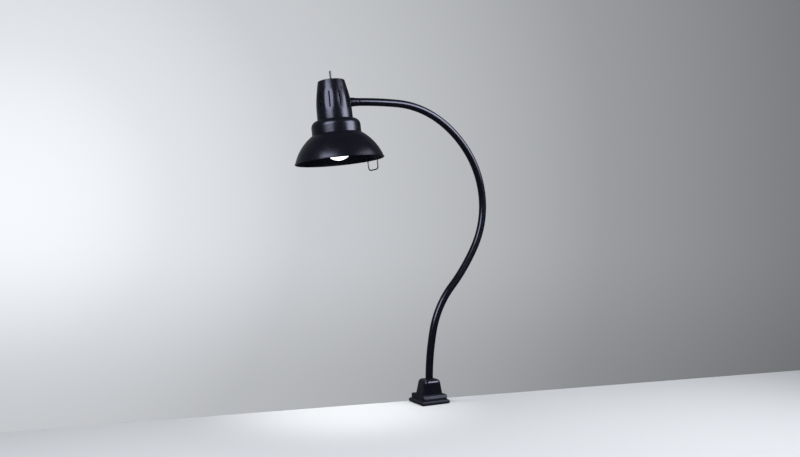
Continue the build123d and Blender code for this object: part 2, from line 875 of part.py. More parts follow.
def bracket_screws():
    """Two screws that hold the lampholder to the bracket."""
    places = small_screw_places()[:2]
    return on_head(Compound(children=[place * small_screw(bracket_sheet) for place in places]))


def terminal_screws():
    """Two wire terminals on the lampholder's top."""
    places = small_screw_places()[2:]
    return on_head(Compound(children=[place * small_screw(0) for place in places]))


def switch_turn():
    """Turns a shape so that its local X lies along the switch's throw."""
    return Rot(0, 0, throw_direction)


def switch_body():
    """Moulded switch case under the top plate."""
    half_length, half_width = switch_length / 2, switch_width / 2
    top = -housing_wall - switch_drop
    case = box((-half_length, half_length), (-half_width, half_width), (top - switch_height, top))
    case -= cylinder(bushing_radius + hair, top - bushing_grip, top + past)
    return on_head(switch_turn() * case)


def switch_bushing():
    """Threaded bushing through the top plate, with the lever's socket in its bore."""
    foot = -housing_wall - switch_drop - bushing_grip
    bushing = cylinder(bushing_radius, foot, bushing_rise)
    bushing = chamfer(bushing.faces().sort_by(Axis.Z)[-1].edges(), bushing_bevel)
    return on_head(bushing - cylinder(bushing_bore, foot - past, bushing_rise + past))


def switch_nut():
    """Hexagonal nut that holds the switch on the top plate."""
    nut = hexagon(switch_nut_across, 0, switch_nut_height)
    return on_head(nut - cylinder(bushing_radius + hair, -past, switch_nut_height + past))


def lever_pivot():
    """The lever's pivot in the head's frame."""
    return Vector(0, 0, bushing_rise - lever_pivot_sink)


def toggle_lever():
    """Bat lever on a ball in the bushing, at rest at one end of its throw."""
    rise = lever_pivot_sink + lever_length
    tip_centre = rise - lever_tip_radius
    slant = lever_tip_radius * math.sqrt(0.5)
    tip = ThreePointArc((lever_tip_radius, 0, tip_centre), (slant, 0, tip_centre + slant), (0, 0, rise))
    waist_height = lever_pivot_sink + lever_neck_length
    waist = (lever_neck_radius, 0, waist_height)
    shoulder = (lever_shoulder_radius, 0, waist_height + lever_shoulder_rise)
    side = Polyline(tip @ 1, (0, 0, 0), (lever_neck_radius, 0, 0), waist, shoulder, tip @ 0)
    lever = turned(tip, side) + Sphere(lever_ball)
    lever = Pos(*lever_pivot()) * Rot(0, lever_lean, 0) * lever
    return on_head(switch_turn() * lever)


def wire(points):
    """One insulated wire through corner points in the head's frame."""
    path = FilletPolyline(*points, radius=wire_bend)
    start = Plane(origin=path @ 0, z_dir=path % 0)
    return sweep(start * Circle(wire_radius), path=path)


def wire_start(side):
    """First points of a head wire: out of the nipple's end and up the bay beside the bracket."""
    bay = nipple_inner - wire_bend - 2 * wire_gap
    return [(nipple_inner - wire_gap, side, -nipple_depth), (bay, side, -nipple_depth)]


def wire_end(side):
    """Last points of a head wire: straight down on to a terminal screw's head."""
    low = small_screw_head_height - holder_top + wire_gap
    return [(0, side * terminal_spread, low + wire_landing), (0, side * terminal_spread, low)]


def live_wires():
    """Wires from the lead to the switch, and from the switch to the live terminal."""
    switch_foot = -housing_wall - switch_drop - switch_height - wire_gap
    pole = switch_length / 2 - switch_pole_inset
    feed = wire_start(wire_offset)
    feed += [(feed[-1][0], wire_offset, feed_corner), (pole, 0, pole_corner), (pole, 0, switch_foot)]
    back = [(-pole, 0, switch_foot), (-pole, 0, return_corner)] + wire_end(1)
    return on_head(Compound(children=[wire(feed), wire(back)]))


def neutral_wire():
    """Wire from the lead to the neutral terminal."""
    start = wire_start(-wire_offset)
    rise = (start[-1][0], -wire_offset, -holder_top + wire_landing)
    return on_head(wire(start + [rise] + wire_end(-1)))


# The handle's legs run down the shade's wall to the rim and hang from there along the shade's axis.


def leg_wall(depth):
    """How far out from the shade's axis the inner wall is beside the handle's legs, at a depth."""
    return math.sqrt(flare_point(shade_wall, depth) ** 2 - (handle_spread_top / 2) ** 2)


foot_out = leg_wall(rim_depth) - handle_inset
eyelet_out = leg_wall(rim_depth - handle_rise) - eyelet_inset
handle_lean = math.atan2(foot_out - eyelet_out, handle_rise)
handle_grip = math.hypot(foot_out - eyelet_out, handle_rise)


def handle_frame():
    """Local X runs round the rim, local Y down along the legs, and Z points in to the shade's axis."""
    inward = Vector(-math.cos(handle_lean), 0, -math.sin(handle_lean))
    plane = Plane(origin=(foot_out, 0, -rim_depth), x_dir=(0, 1, 0), z_dir=inward)
    return Rot(0, 0, handle_azimuth) * plane.location


def handle_corners():
    """Corner points of the handle's wire in its own frame, whose origin is level with the rim."""
    top, rim, low = handle_spread_top / 2, handle_spread_rim / 2, handle_spread_low / 2
    down, inward = handle_drop * math.cos(handle_lean), handle_drop * math.sin(handle_lean)
    left = [(-top, -handle_grip, 0), (-rim, 0, 0), (-low, down, inward)]
    return left + [(-x, y, z) for x, y, z in reversed(left)]


def rivet_places():
    """The two rivets' axes in the head's frame. Local Z points in to the shade's axis."""
    corners = handle_corners()
    return [handle_frame() * Pos(*corner) for corner in (corners[0], corners[-1])]


def wire_handle():
    """Bent wire handle with an eyelet at the end of each leg."""
    corners = handle_corners()
    path = FilletPolyline(*corners, radius=handle_corner)
    start = Plane(origin=path @ 0, z_dir=path % 0)
    handle = sweep(start * Circle(handle_wire), path=path)
    for corner in (corners[0], corners[-1]):
        handle += Pos(*corner) * cylinder(eyelet_radius, -eyelet_half_height, eyelet_half_height)
        handle -= Pos(*corner) * cylinder(rivet_radius + slip, -rivet_reach, rivet_reach)
    return on_head(handle_frame() * handle)


def handle_rivets():
    """Two rivets through the eyelets and the shade's wall, headed on both sides."""
    wall = shade_blank(0, rim_depth)
    skin = shade_blank(-rivet_head_height, rim_depth) - wall
    stem_limit = shade_blank(-rivet_head_height / 2, rim_depth)
    face = eyelet_half_height
    rivets = []
    for place in rivet_places():
        stem = (place * cylinder(rivet_radius, -rivet_reach, face)) & stem_limit
        outer_head = (place * cylinder(rivet_head, -rivet_reach, 0)) & skin
        inner_head = place * cylinder(rivet_head, face, face + rivet_head_height)
        rivets.append(stem + outer_head + inner_head)
    return on_head(Compound(children=rivets))


# Bulb

bulb_top = bulb_tip_depth - bulb_length
cap_top = bulb_top + cap_start
cap_bottom = cap_top + cap_length


def bulb_blank(inset):
    """The bulb's envelope, drawn in by inset."""
    belly = bulb_tip_depth - bulb_radius
    neck = (cap_radius - inset - end_gap, 0, -cap_bottom)
    flank = Spline(
        neck,
        (bulb_neck_radius - inset, 0, -cap_bottom - bulb_neck_length),
        (bulb_radius - bulb_shoulder_in - inset, 0, -belly + bulb_shoulder_up),
        (bulb_radius - inset, 0, -belly),
        tangents=[(0, 0, -1), (0, 0, -1)],
    )
    small = bulb_radius - inset
    slant = small * math.sqrt(0.5)
    dome = ThreePointArc(flank @ 1, (slant, 0, -belly - slant), (0, 0, -belly - small))
    rest = Polyline(dome @ 1, (0, 0, -cap_bottom), neck)
    return turned(flank, dome, rest)


def bulb_glass():
    """Opal glass envelope."""
    return on_head(bulb_blank(0) - bulb_blank(bulb_wall))


def bulb_cap():
    """Screw cap of the bulb, drawn with ring grooves."""
    inner = cap_radius - cap_groove
    step = (cap_length - cap_skirt_rise) / cap_turns
    bore = cap_radius - cap_skirt_wall
    profile = [(bore, -cap_top), (inner, -cap_top)]
    for turn in range(cap_turns):
        top = cap_top + turn * step
        crest_top = top + step * flank_share
        crest_foot = crest_top + step * crest_share
        profile += [(cap_radius, -crest_top), (cap_radius, -crest_foot), (inner, -top - step)]
    profile += [(cap_radius, -cap_bottom + cap_skirt_rise - cap_groove), (cap_radius, -cap_bottom)]
    profile += [(bore, -cap_bottom)]
    return on_head(turned(outline(profile)))


def bulb_contact():
    """Insulator and tip contact at the cap's end."""
    wide = cap_radius - cap_skirt_wall - hair
    plug_end = -cap_top - contact_plug
    profile = [(0, -bulb_top), (contact_tip, -bulb_top)]
    profile += [(contact_tip + contact_step, -bulb_top - contact_step)]
    profile += [(wide, -cap_top), (wide, plug_end), (0, plug_end)]
    return on_head(turned(outline(profile)))


pieces = {
    "clamp_frame": clamp_frame,
    "jaw_pad": jaw_pad,
    "housing_screws": housing_screws,
    "base_housing": base_housing,
    "cord_grommet": cord_grommet,
    "neck_root_bush": neck_root_bush,
    "clamp_screw": clamp_screw,
    "swivel_pad": swivel_pad,
    "pad_face": pad_face,
    "clamp_knob": clamp_knob,
    "knob_pin": lambda: knob_pin_blank(0),
    "neck_ferrule": neck_ferrule,
    "swivel_nut": swivel_nut,
    "friction_washer": friction_washer,
    "swivel_nipple": swivel_nipple,
    "swivel_locknut": swivel_locknut,
    "socket_housing": socket_housing,
    "shade": shade,
    "lampholder_body": lampholder_body,
    "screw_shell": screw_shell,
    "centre_contact": centre_contact,
    "shade_ring": shade_ring,
    "socket_bracket": socket_bracket,
    "bracket_screws": bracket_screws,
    "terminal_screws": terminal_screws,
    "switch_body": switch_body,
    "switch_bushing": switch_bushing,
    "switch_nut": switch_nut,
    "toggle_lever": toggle_lever,
    "live_wires": live_wires,
    "neutral_wire": neutral_wire,
    "wire_handle": wire_handle,
    "handle_rivets": handle_rivets,
    "bulb_glass": bulb_glass,
    "bulb_cap": bulb_cap,
    "bulb_contact": bulb_contact,
}

for name, make in pieces.items():
    save(make(), name)

for index in range(len(turns)):
    save(neck_sleeve(index), f"neck_sleeve_{index + 1}")
    save(neck_conduit(index), f"neck_conduit_{index + 1}")
    save(neck_lead(index), f"neck_lead_{index + 1}")
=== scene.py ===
import math
import json
from collections import namedtuple

import bmesh
import bpy
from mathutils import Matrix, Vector

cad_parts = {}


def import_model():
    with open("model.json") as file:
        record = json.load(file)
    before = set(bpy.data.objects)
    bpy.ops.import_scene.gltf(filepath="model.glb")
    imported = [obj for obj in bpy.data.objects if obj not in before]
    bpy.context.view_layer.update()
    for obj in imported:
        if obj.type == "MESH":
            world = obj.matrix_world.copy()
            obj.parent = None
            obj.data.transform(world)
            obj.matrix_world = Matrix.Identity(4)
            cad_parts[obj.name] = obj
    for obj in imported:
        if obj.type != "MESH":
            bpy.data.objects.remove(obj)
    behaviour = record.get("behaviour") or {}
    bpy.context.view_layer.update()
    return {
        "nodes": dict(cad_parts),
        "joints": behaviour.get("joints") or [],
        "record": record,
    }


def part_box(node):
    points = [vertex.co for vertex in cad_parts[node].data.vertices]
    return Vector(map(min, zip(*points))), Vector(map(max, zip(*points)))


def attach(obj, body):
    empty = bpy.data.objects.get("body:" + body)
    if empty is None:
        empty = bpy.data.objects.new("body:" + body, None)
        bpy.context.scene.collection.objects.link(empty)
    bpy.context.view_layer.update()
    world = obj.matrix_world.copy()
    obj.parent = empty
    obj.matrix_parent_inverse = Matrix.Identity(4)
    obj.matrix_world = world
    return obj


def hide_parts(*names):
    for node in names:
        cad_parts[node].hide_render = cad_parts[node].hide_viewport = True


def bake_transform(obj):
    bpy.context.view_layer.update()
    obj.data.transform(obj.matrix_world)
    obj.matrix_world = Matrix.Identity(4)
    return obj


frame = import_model()

MM = 0.001
nodes = frame["nodes"]
joints = {joint["name"]: joint for joint in frame["joints"]}

# Camera. The focal length is in pixels of the 800 x 457 frame, whose middle is the camera's axis.

FRAME_WIDTH_PX = 800.0
FOCAL_PX = 730.0
SENSOR = 36.0
CAMERA_PLACE = Vector((-0.84696, -1.42171, 0.37009))
CAMERA_AZIMUTH = math.radians(-28.5)
CAMERA_PITCH = math.radians(0.746)

camera_data = bpy.data.cameras.new("camera")
camera_data.sensor_width = SENSOR
camera_data.lens = SENSOR * FOCAL_PX / FRAME_WIDTH_PX
camera = bpy.data.objects.new("camera", camera_data)
bpy.context.scene.collection.objects.link(camera)
camera.location = CAMERA_PLACE
camera_back = Vector((
    math.sin(CAMERA_AZIMUTH) * math.cos(CAMERA_PITCH),
    -math.cos(CAMERA_AZIMUTH) * math.cos(CAMERA_PITCH),
    -math.sin(CAMERA_PITCH),
))
camera.rotation_mode = "QUATERNION"
camera.rotation_quaternion = camera_back.to_track_quat("Z", "Y")
bpy.context.scene.camera = camera
bpy.context.scene.view_settings.view_transform = "Standard"


# Materials


def add_node(tree, kind, **values):
    """A new node of a tree, with its inputs and settings given by name."""
    node = tree.nodes.new(kind)
    for key, value in values.items():
        if key in node.inputs:
            node.inputs[key].default_value = value
        else:
            setattr(node, key, value)
    return node


def toned(colour, factor, lift=0.0):
    """A colour made lighter or darker."""
    return tuple(channel * factor + lift for channel in colour)


class Material:
    """A material's node tree, with short calls to add and join nodes."""

    def __init__(self, name):
        self.data = bpy.data.materials.new(name)
        self.data.use_nodes = True
        self.tree = self.data.node_tree
        self.shader = self.tree.nodes["Principled BSDF"]

    def set(self, **values):
        """Plain values on the shader, by the sockets' names with _ for a space."""
        for key, value in values.items():
            self.shader.inputs[key.replace("_", " ")].default_value = value

    def feed(self, socket, source):
        """Joins a node's output to one of the shader's sockets."""
        self.tree.links.new(source, self.shader.inputs[socket])

    def place(self):
        """The point in the object's own space, which is the same at every pose."""
        return add_node(self.tree, "ShaderNodeTexCoord").outputs["Object"]

    def height(self):
        """The point's height in the object's own space."""
        split = add_node(self.tree, "ShaderNodeSeparateXYZ")
        self.tree.links.new(self.place(), split.inputs["Vector"])
        return split.outputs["Z"]

    def noise(self, scale, detail, roughness=0.5):
        """A noise texture in metres: scale is features per metre."""
        node = add_node(self.tree, "ShaderNodeTexNoise", Scale=scale, Detail=detail, Roughness=roughness)
        self.tree.links.new(self.place(), node.inputs["Vector"])
        return node.outputs["Fac"]

    def ramp(self, source, low, high, start=0.3, end=0.7):
        """Maps a value between start and end on to low and high, which are numbers."""
        node = add_node(self.tree, "ShaderNodeMapRange")
        node.inputs["From Min"].default_value = start
        node.inputs["From Max"].default_value = end
        node.inputs["To Min"].default_value = low
        node.inputs["To Max"].default_value = high
        self.tree.links.new(source, node.inputs["Value"])
        return node.outputs["Result"]

    def total(self, first, second):
        """The sum of two values."""
        node = add_node(self.tree, "ShaderNodeMath", operation="ADD")
        self.tree.links.new(first, node.inputs[0])
        self.tree.links.new(second, node.inputs[1])
        return node.outputs[0]

    def tint(self, source, first, second):
        """Mixes two colours by a value."""
        node = add_node(self.tree, "ShaderNodeMix", data_type="RGBA")
        sockets = {socket.identifier: socket for socket in node.inputs}
        sockets["A_Color"].default_value = (*first, 1.0)
        sockets["B_Color"].default_value = (*second, 1.0)
        self.tree.links.new(source, node.inputs["Factor"])
        return [socket for socket in node.outputs if socket.identifier == "Result_Color"][0]

    def bump(self, *layers):
        """Stacks height layers, each (value, strength, distance in metres)."""
        normal = None
        for source, strength, distance in layers:
            node = add_node(self.tree, "ShaderNodeBump", Strength=strength, Distance=distance)
            self.tree.links.new(source, node.inputs["Height"])
            if normal:
                self.tree.links.new(normal, node.inputs["Normal"])
            normal = node.outputs["Normal"]
        self.feed("Normal", normal)


# The photograph's black gloss is bluish
GLOSS_TINT = (0.72, 0.74, 1.0, 1.0)
BLACK = (0.0034, 0.0036, 0.006)
BLACK_PATCH = (0.005, 0.0052, 0.008)
# How far above a foot's height its dullness fades out
FOOT_FADE = 4.0 * MM
PLINTH_TOP = 19.0 * MM


def satin_paint(name, roughness, peel, specks=0.0, foot=None):
    """Baked blue-black enamel: fine orange peel, faint clouding, and slightly duller patches.

    A foot, (height, roughness to add below it), is handled and dusted more, and so is duller."""
    paint = Material(name)
    paint.set(Specular_Tint=GLOSS_TINT, IOR=1.5)
    lighter = toned(BLACK, 1.4, lift=0.0005)
    cloud = paint.ramp(paint.noise(scale=14.0, detail=4.0), low=0.0, high=1.0)
    paint.feed("Base Color", paint.tint(cloud, BLACK, lighter))
    patches = paint.noise(scale=60.0, detail=5.0)
    dullness = paint.ramp(patches, low=roughness - 0.03, high=roughness + 0.04)
    if foot:
        top, extra = foot
        dust = paint.ramp(paint.height(), low=extra, high=0.0, start=top, end=top + FOOT_FADE)
        dullness = paint.total(dullness, dust)
    paint.feed("Roughness", dullness)
    layers = [
        (paint.noise(scale=1500.0, detail=2.0), peel, 0.06 * MM),
        (paint.noise(scale=420.0, detail=2.0), peel * 0.8, 0.12 * MM),
    ]
    if specks:
        layers.append((paint.noise(scale=160.0, detail=6.0, roughness=0.7), specks, 0.35 * MM))
    paint.bump(*layers)
    return paint.data


def metal(name, colour, roughness, spread=0.06):
    """Bare or plated metal with fine rubbed marks."""
    plate = Material(name)
    plate.set(Metallic=1.0)
    marks = plate.noise(scale=900.0, detail=3.0)
    stains = plate.ramp(plate.noise(scale=90.0, detail=4.0), low=0.0, high=1.0)
    plate.feed("Base Color", plate.tint(stains, colour, toned(colour, 0.82)))
    plate.feed("Roughness", plate.ramp(marks, low=roughness - spread, high=roughness + spread))
    plate.bump((marks, 0.12, 0.04 * MM))
    return plate.data


def plastic(name, colour, roughness, grain, grain_scale=700.0):
    """Moulded plastic or rubber with a fine grain."""
    moulding = Material(name)
    cloud = moulding.ramp(moulding.noise(scale=40.0, detail=4.0), low=0.0, high=1.0)
    moulding.feed("Base Color", moulding.tint(cloud, colour, toned(colour, 1.5, lift=0.002)))
    patches = moulding.noise(scale=120.0, detail=4.0)
    moulding.feed("Roughness", moulding.ramp(patches, low=roughness - 0.05, high=roughness + 0.06))
    moulding.bump((moulding.noise(scale=grain_scale, detail=2.0), grain, 0.1 * MM))
    return moulding.data


def sleeve_plastic():
    """Smooth black PVC sleeve with faint long waves."""
    sleeve = Material("sleeve_pvc")
    sleeve.set(Specular_Tint=GLOSS_TINT, IOR=1.53)
    cloud = sleeve.ramp(sleeve.noise(scale=30.0, detail=4.0), low=0.0, high=1.0)
    sleeve.feed("Base Color", sleeve.tint(cloud, BLACK, BLACK_PATCH))
    patches = sleeve.noise(scale=60.0, detail=4.0)
    sleeve.feed("Roughness", sleeve.ramp(patches, low=0.16, high=0.21))
    fine = sleeve.noise(scale=1800.0, detail=2.0)
    waves = sleeve.noise(scale=22.0, detail=1.0)
    sleeve.bump((fine, 0.05, 0.04 * MM), (waves, 0.05, 0.3 * MM))
    return sleeve.data


def opal_glass():
    """White inside-frosted bulb, lit."""
    glass = Material("opal_glass")
    frost = glass.noise(scale=200.0, detail=3.0)
    glass.feed("Base Color", glass.tint(frost, (0.93, 0.93, 0.92), (0.88, 0.88, 0.87)))
    patches = glass.noise(scale=70.0, detail=3.0)
    glass.feed("Roughness", glass.ramp(patches, low=0.16, high=0.24))
    glass.bump((glass.noise(scale=900.0, detail=2.0), 0.05, 0.03 * MM))
    glass.set(Emission_Color=(1.0, 0.97, 0.93, 1.0), Emission_Strength=1.5)
    return glass.data


materials = {
    "black_enamel": satin_paint("black_enamel", roughness=0.25, peel=0.05),
    "black_casting": satin_paint(
        "black_casting", roughness=0.19, peel=0.1, specks=0.08, foot=(PLINTH_TOP, 0.33)
    ),
    "black_fitting": satin_paint("black_fitting", roughness=0.22, peel=0.06),
    "black_sleeve": sleeve_plastic(),
    "conduit_steel": metal("conduit_steel", (0.42, 0.42, 0.43), roughness=0.34),
    "zinc_steel": metal("zinc_steel", (0.55, 0.55, 0.56), roughness=0.3),
    "bright_chrome": metal("bright_chrome", (0.72, 0.73, 0.75), roughness=0.14, spread=0.04),
    "satin_steel": metal("satin_steel", (0.14, 0.145, 0.155), roughness=0.36),
    "toggle_grey": metal("toggle_grey", (0.2, 0.2, 0.215), roughness=0.38),
    "brass": metal("brass", (0.72, 0.5, 0.19), roughness=0.26),
    "cap_aluminium": metal("cap_aluminium", (0.68, 0.68, 0.69), roughness=0.28),
    "opal_glass": opal_glass(),
    "black_rubber": plastic("black_rubber", (0.012, 0.012, 0.012), roughness=0.72, grain=0.5),
    "black_moulding": plastic("black_moulding", (0.011, 0.011, 0.012), roughness=0.42, grain=0.25),
    "fibre": plastic("fibre", (0.02, 0.016, 0.014), roughness=0.8, grain=0.5, grain_scale=300.0),
    "lead_jacket": plastic("lead_jacket", (0.015, 0.015, 0.015), roughness=0.5, grain=0.2),
    "wire_insulation": plastic("wire_insulation", (0.06, 0.06, 0.07), roughness=0.45, grain=0.15),
}

for subpart in frame["record"]["subparts"]:
    node = nodes[subpart["node"]]
    node.data.materials.clear()
    node.data.materials.append(materials[subpart["material_slot"]])

for name, finish in (("wire_handle", "satin_steel"), ("toggle_lever", "toggle_grey")):
    nodes[name].data.materials[0] = materials[finish]


# Mesh helpers


def new_piece(name, mesh, slot, body=None):
    """Links a mesh as a named piece with one of the materials above."""
    piece = bpy.data.objects.new(name, mesh)
    bpy.context.scene.collection.objects.link(piece)
    mesh.materials.append(materials[slot])
    if body:
        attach(piece, body)
    return piece


def smooth(mesh, angle=35.0):
    """Smooth shading that keeps edges sharper than an angle."""
    mesh.polygons.foreach_set("use_smooth", [True] * len(mesh.polygons))
    mesh.set_sharp_from_angle(angle=math.radians(angle))


def finished(mesh, name, sharp_angle):
    """A bmesh's faces turned outwards, as smooth mesh data."""
    bmesh.ops.recalc_face_normals(mesh, faces=mesh.faces)
    data = bpy.data.meshes.new(name)
    mesh.to_mesh(data)
    mesh.free()
    smooth(data, sharp_angle)
    return data


def skin(mesh, first, second):
    """One band of faces between two closed rings with as many points."""
    for number in range(len(first)):
        after = (number + 1) % len(first)
        mesh.faces.new((first[number], first[after], second[after], second[number]))


for node in nodes.values():
    smooth(node.data)


# Neck. Its line is a chain of arcs through the neck's joints, each tangent to the next.

NECK_START = Vector((0.0, 0.0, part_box("base_housing")[1].z))
NECK_END_PAST_SWIVEL = 19.9 * MM
UPWARDS = math.pi / 2
LEAST_BEND = 1e-9

bend_count = sum(name.startswith("neck_bend") for name in joints)
bend_names = [f"neck_bend_{number + 1}" for number in range(bend_count)]
pivots = [Vector(joints[name]["pos_m"]) for name in bend_names]
head_x = Vector(joints["head_swivel"]["axis"]).normalized()
head_z = -Vector(joints["bulb_unscrew"]["axis"]).normalized()
head_y = head_z.cross(head_x)
swivel_place = Vector(joints["head_swivel"]["pos_m"])


def arc_from(start, heading, end):
    """(length, turn) of the arc from start to end that leaves at a heading, in the neck's plane."""
    chord = end - start
    turn = 2 * (math.atan2(chord.z, chord.x) - heading)
    turn = math.atan2(math.sin(turn), math.cos(turn))
    length = chord.length * (turn / 2) / math.sin(turn / 2)
    return length, turn


Arc = namedtuple("Arc", "start heading length turn")


def neck_arcs():
    """The neck's arcs: one from the casting, one between each two joints and one to the neck's end."""
    arcs = []
    place, heading = NECK_START, UPWARDS
    for end in pivots + [swivel_place + head_x * NECK_END_PAST_SWIVEL]:
        length, turn = arc_from(place, heading, end)
        arcs.append(Arc(place, heading, length, turn))
        place, heading = end, heading + turn
    return arcs


arcs = neck_arcs()
joint_distances = [sum(arc.length for arc in arcs[: number + 1]) for number in range(len(pivots))]
neck_length = sum(arc.length for arc in arcs)


def neck_pose(distance):
    """Point and direction of the neck's line at a distance from the casting's top."""
    number = 0
    while number < len(arcs) - 1 and distance > arcs[number].length:
        distance -= arcs[number].length
        number += 1
    arc = arcs[number]
    bend = arc.turn * distance / arc.length
    half = bend / 2
    chord = distance * (math.sin(half) / half if abs(half) > LEAST_BEND else 1.0)
    way = arc.heading + half
    point = arc.start + Vector((math.cos(way), 0.0, math.sin(way))) * chord
    return point, Vector((math.cos(arc.heading + bend), 0.0, math.sin(arc.heading + bend)))


def neck_tube(name, start, end, radius_at, bore, step, sides):
    """A tube along the neck's line between two distances, with a radius that may vary along it."""
    count = max(2, round((end - start) / step))
    angles = [2 * math.pi * number / sides for number in range(sides)]
    side = Vector((0.0, 1.0, 0.0))
    outer, inner = [], []
    mesh = bmesh.new()
    for number in range(count + 1):
        distance = start + (end - start) * number / count
        point, way = neck_pose(distance)
        up = Vector((-way.z, 0.0, way.x))
        for rings, radius in ((outer, radius_at(distance)), (inner, bore)):
            rings.append([
                mesh.verts.new(point + (up * math.cos(angle) + side * math.sin(angle)) * radius)
                for angle in angles
            ])
    for before, after in zip(outer, outer[1:]):
        skin(mesh, before, after)
    for before, after in zip(inner, inner[1:]):
        skin(mesh, after, before)
    skin(mesh, inner[0], outer[0])
    skin(mesh, outer[-1], inner[-1])
    return finished(mesh, name, sharp_angle=50.0)


SLEEVE_RADIUS = 8.5 * MM
SLEEVE_BORE = 7.4 * MM
SLEEVE_STEP = 1.6 * MM
SLEEVE_SIDES = 40
LIP_LENGTH = 1.6 * MM
LIP_HEIGHT = 0.35 * MM
CONDUIT_RADIUS = 7.1 * MM
CONDUIT_BORE = 3.6 * MM
CONDUIT_PITCH = 3.2 * MM
CONDUIT_GROOVE = 0.5 * MM
CONDUIT_STEP = CONDUIT_PITCH / 4
CONDUIT_SIDES = 24
# The higher, the narrower the grooves and the sharper the sleeve's lip turns in
GROOVE_POWER = 3
LIP_POWER = 4


def sleeve_radius(distance):
    """The sleeve's radius, with a small rolled lip at each end."""
    near = min(distance, neck_length - distance)
    if near >= LIP_LENGTH:
        return SLEEVE_RADIUS
    share = near / LIP_LENGTH
    return SLEEVE_RADIUS + LIP_HEIGHT * (math.sin(math.pi * share) ** 2 - (1 - share) ** LIP_POWER)


def conduit_radius(distance):
    """Strip-wound conduit: a groove at every turn."""
    share = (0.5 + 0.5 * math.cos(2 * math.pi * distance / CONDUIT_PITCH)) ** GROOVE_POWER
    return CONDUIT_RADIUS - CONDUIT_GROOVE * share


# Each layer: piece, replaced node, slot, then outer radius, bore, step along the neck and sides
NECK_LAYERS = [
    ("sleeve", "neck_sleeve", "black_sleeve", (sleeve_radius, SLEEVE_BORE, SLEEVE_STEP, SLEEVE_SIDES)),
    (
        "conduit", "neck_conduit", "conduit_steel",
        (conduit_radius, CONDUIT_BORE, CONDUIT_STEP, CONDUIT_SIDES),
    ),
]


def make_neck():
    """A sleeve and a conduit for each joint, which run across it and meet halfway to the next joint."""
    halfway = [(before + after) / 2 for before, after in zip(joint_distances, joint_distances[1:])]
    stops = [0.0] + halfway + [neck_length]
    # Each piece reaches halfway to the joints on both sides, or to the neck's ends
    for number, pivot in enumerate(pivots):
        way = neck_pose(joint_distances[number])[1]
        for layer, node_name, slot, shape in NECK_LAYERS:
            name = f"{layer}_{number + 1}"
            piece = new_piece(name, neck_tube(name, stops[number], stops[number + 1], *shape), slot)
            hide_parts(f"{node_name}_{number + 1}")
            if number == len(pivots) - 1:
                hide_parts(f"{node_name}_{number + 2}")
            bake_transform(piece)


make_neck()


# Socket housing, drawn again as one lathed grid with a soft flute along each slot. Sizes from here to
# the stage are in millimetres, as radius from the head's axis and depth below its top.

HOUSING_PROFILE = ((28.3, 0.0), (35.6, 41.5), (37.7, 83.0))
HOUSING_WALL = 1.0
HOUSING_EDGE = 1.6
EDGE_STEPS = 6
BUSHING_HOLE = 3.32
TOP_RINGS = (BUSHING_HOLE, 6.0, 12.0, 18.0, 23.0)
FIRST_ROW = 3.0
ROW_STEP = 2.0
ROW_COUNT = 40
LEAST_ROW_GAP = 0.012
SLOT_COUNT = 10
SLOT_TOP = 26.0
SLOT_BOTTOM = 60.0
SLOT_HALF = 1.5
SLOT_TIP = 0.3
SLOT_END_STEPS = 5
FLUTE_TOP = 17.0
FLUTE_BOTTOM = 68.0
FLUTE_DEPTH = 0.55
FLUTE_POWER = 0.8
BAND_PROUD = 0.45
# Half of the angle between two slots, and where the grid's columns lie in it beside a slot
HALF_SECTOR = math.pi / SLOT_COUNT
COLUMN_SHARES = (0.22, 0.31, 0.42, 0.54, 0.68, 0.84)
SLOT_SHARE_MOST = 0.15
SLOT_COLUMN = 1 + len(COLUMN_SHARES)
COLUMNS_A_SECTOR = 3 + 2 * len(COLUMN_SHARES)

SWIVEL_DEPTH = 45.2
SWIVEL_OUT = 37.4
SWIVEL_HOLE = 6.6
SWIVEL_SIDE = 10.0
SEAT_PROFILE = [(5.15, 32.5), (10.1, 32.5), (10.1, 37.0), (9.75, 37.35), (5.15, 37.35)]
SEAT_SIDES = 48

head_top = swivel_place - head_x * SWIVEL_OUT * MM + head_z * SWIVEL_DEPTH * MM


def circle_through(first, second, third):
    """Centre and radius of the circle through three points."""
    (ax, ay), (bx, by), (cx, cy) = first, second, third
    doubled = 2 * (ax * (by - cy) + bx * (cy - ay) + cx * (ay - by))
    aa, bb, cc = ax**2 + ay**2, bx**2 + by**2, cx**2 + cy**2
    centre_x = (aa * (by - cy) + bb * (cy - ay) + cc * (ay - by)) / doubled
    centre_y = (aa * (cx - bx) + bb * (ax - cx) + cc * (bx - ax)) / doubled
    return centre_x, centre_y, math.hypot(ax - centre_x, ay - centre_y)


ARC_RADIUS_OUT, ARC_DEPTH, ARC_RADIUS = circle_through(*HOUSING_PROFILE)


def wall_radius(depth):
    """The housing's outer radius at a depth, on the arc through its profile."""
    return ARC_RADIUS_OUT + math.sqrt(ARC_RADIUS**2 - (depth - ARC_DEPTH) ** 2)


def head_point(radius, azimuth, depth):
    """A point by its millimetres from the head's axis and below its top."""
    level = head_x * math.cos(azimuth) + head_y * math.sin(azimuth)
    return head_top + level * (radius * MM) - head_z * (depth * MM)


def fluting(offset, depth):
    """How far the wall stands out, at an angle from a slot's middle and a depth."""
    share = (depth - FLUTE_TOP) / (FLUTE_BOTTOM - FLUTE_TOP)
    if not 0.0 < share < 1.0:
        return 0.0
    rise = math.sin(math.pi * share) ** FLUTE_POWER
    return rise * (BAND_PROUD - FLUTE_DEPTH * math.cos(SLOT_COUNT * offset))


